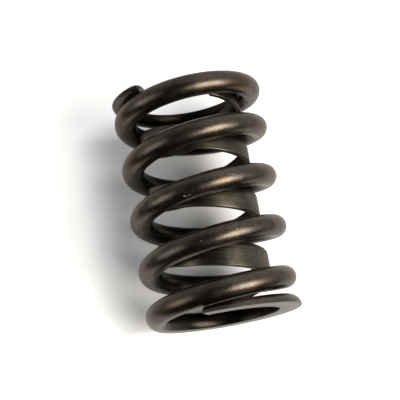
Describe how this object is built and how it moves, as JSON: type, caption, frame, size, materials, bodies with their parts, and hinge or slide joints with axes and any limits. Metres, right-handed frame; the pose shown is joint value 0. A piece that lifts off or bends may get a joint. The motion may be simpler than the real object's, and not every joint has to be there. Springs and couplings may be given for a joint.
{
  "type": "valve spring with flat-wound damper",
  "caption": "Round-wire compression spring with closed, ground ends and a flat strip damper wound the other way inside it.",
  "frame": {"origin": "centre of the lower ground end, on the coil's axis, in the plane that the spring stands on", "axes": "+Z along the coil's axis from the lower ground end to the upper one; the upper wire tip lies near -Y"},
  "size_m": [0.032, 0.032, 0.0488],
  "materials": {
    "spring_wire": "satin bronze-brown heat-treated spring steel, bare grey where the ends are ground",
    "damper_strip": "satin dark brown heat-treated strip steel"
  },
  "bodies": {
    "root": {"outer_spring": "spring_wire", "flat_damper": "damper_strip"}
  },
  "joints": []
}
